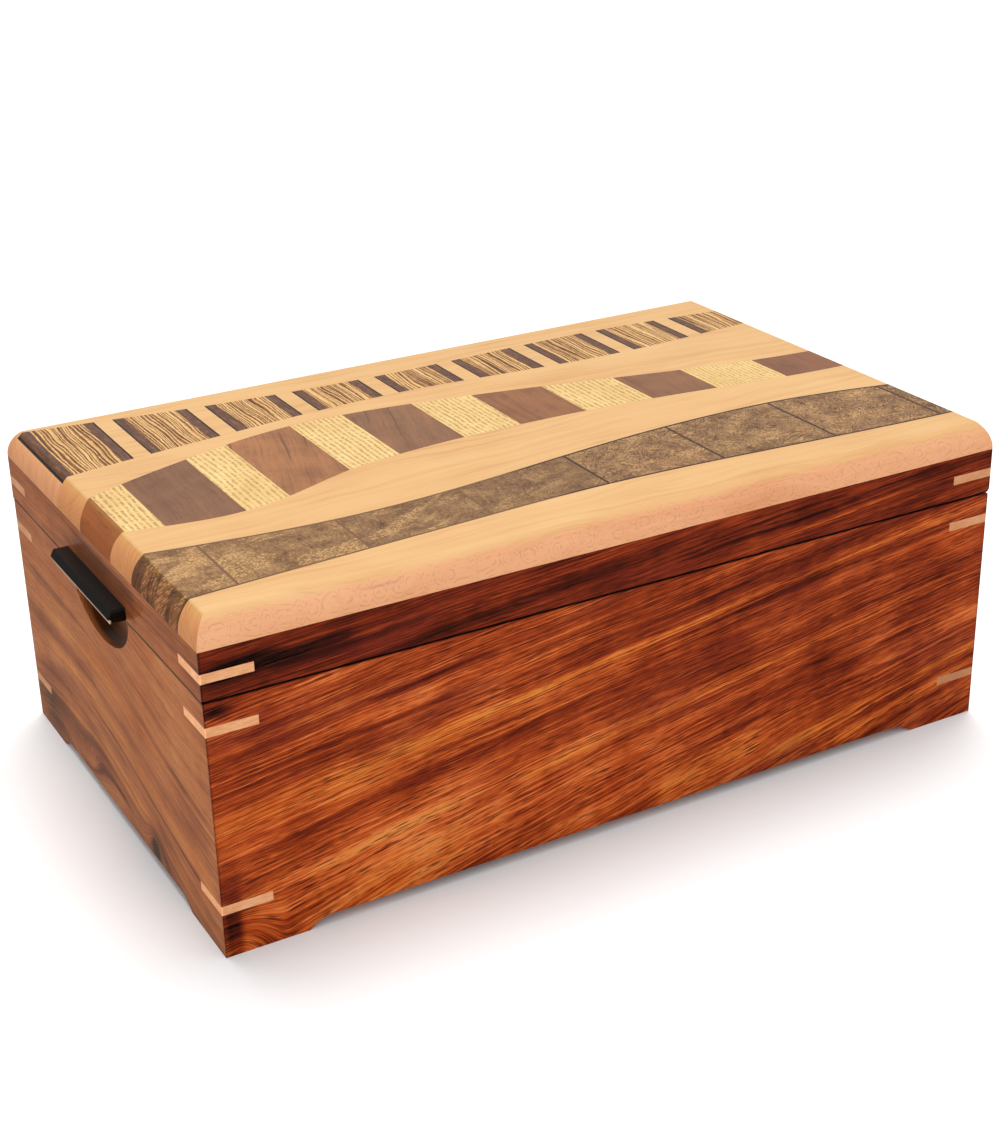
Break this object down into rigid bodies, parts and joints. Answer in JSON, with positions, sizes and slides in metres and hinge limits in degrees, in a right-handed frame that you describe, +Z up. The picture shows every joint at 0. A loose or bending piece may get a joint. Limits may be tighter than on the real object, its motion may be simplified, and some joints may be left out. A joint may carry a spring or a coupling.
{
  "type": "lidded wooden box",
  "caption": "Lidded wooden keepsake box with mitred corners and maple keys, a laminated wavy lid panel, a lift bar over a finger scoop, and a lid hinged at the far short end.",
  "frame": {"origin": "middle of the whole object's footprint, at the level the feet stand on; the lift bar and the hinge knuckles count in the footprint", "axes": "+X along the long side towards the hinges, +Y to the back long side, +Z up"},
  "size_m": [0.3088, 0.1844, 0.1153],
  "materials": {
    "wall_wood": "gloss lacquer",
    "maple_key": "gloss lacquer",
    "floor_board": "satin",
    "felt": "matte",
    "brass": "satin",
    "ebony": "satin",
    "maple": "gloss lacquer",
    "zebrano": "gloss lacquer",
    "brown_band": "gloss lacquer",
    "walnut": "gloss lacquer",
    "ash": "gloss lacquer",
    "burl": "gloss lacquer",
    "dark_veneer": "gloss lacquer"
  },
  "bodies": {
    "base": {"base_front_wall": "wall_wood", "base_back_wall": "wall_wood", "base_left_wall": "wall_wood", "base_right_wall": "wall_wood", "base_upper_keys": "maple_key", "base_lower_keys": "maple_key", "bottom_panel": "floor_board", "felt_lining": "felt", "front_hinge_base_leaf": "brass", "front_hinge_pin": "brass", "back_hinge_base_leaf": "brass", "back_hinge_pin": "brass", "base_hinge_screws": "brass"},
    "lid": {"lid_front_rail": "wall_wood", "lid_back_rail": "wall_wood", "lid_left_rail": "wall_wood", "lid_right_rail": "wall_wood", "lid_keys": "maple_key", "lid_backing_board": "floor_board", "lift_handle": "ebony", "front_hinge_lid_leaf": "brass", "back_hinge_lid_leaf": "brass", "lid_hinge_screws": "brass", "maple_strip_back": "maple", "maple_strip_upper": "maple", "maple_strip_lower": "maple", "maple_strip_front": "maple", "maple_spacers": "maple", "zebrano_block_1": "zebrano", "zebrano_block_2": "zebrano", "zebrano_block_3": "zebrano", "zebrano_block_4": "zebrano", "zebrano_block_5": "zebrano", "zebrano_block_6": "zebrano", "zebrano_block_7": "zebrano", "zebrano_block_8": "zebrano", "zebrano_block_9": "zebrano", "brown_bands": "brown_band", "walnut_block_1": "walnut", "walnut_block_2": "walnut", "walnut_block_3": "walnut", "walnut_block_4": "walnut", "walnut_block_5": "walnut", "walnut_block_6": "walnut", "walnut_block_7": "walnut", "ash_block_1": "ash", "ash_block_2": "ash", "ash_block_3": "ash", "ash_block_4": "ash", "ash_block_5": "ash", "ash_block_6": "ash", "burl_block_1": "burl", "burl_block_2": "burl", "burl_block_3": "burl", "burl_block_4": "burl", "burl_block_5": "burl", "burl_block_6": "burl", "burl_block_7": "burl", "burl_block_8": "burl", "dark_veneers": "dark_veneer"}
  },
  "joints": [
    {"name": "lid_hinge", "type": "hinge", "parent": "base", "child": "lid", "pos_m": [0.15255, 0, 0.0889], "axis": [0, 1, 0], "range_deg": [0, 95]}
  ]
}
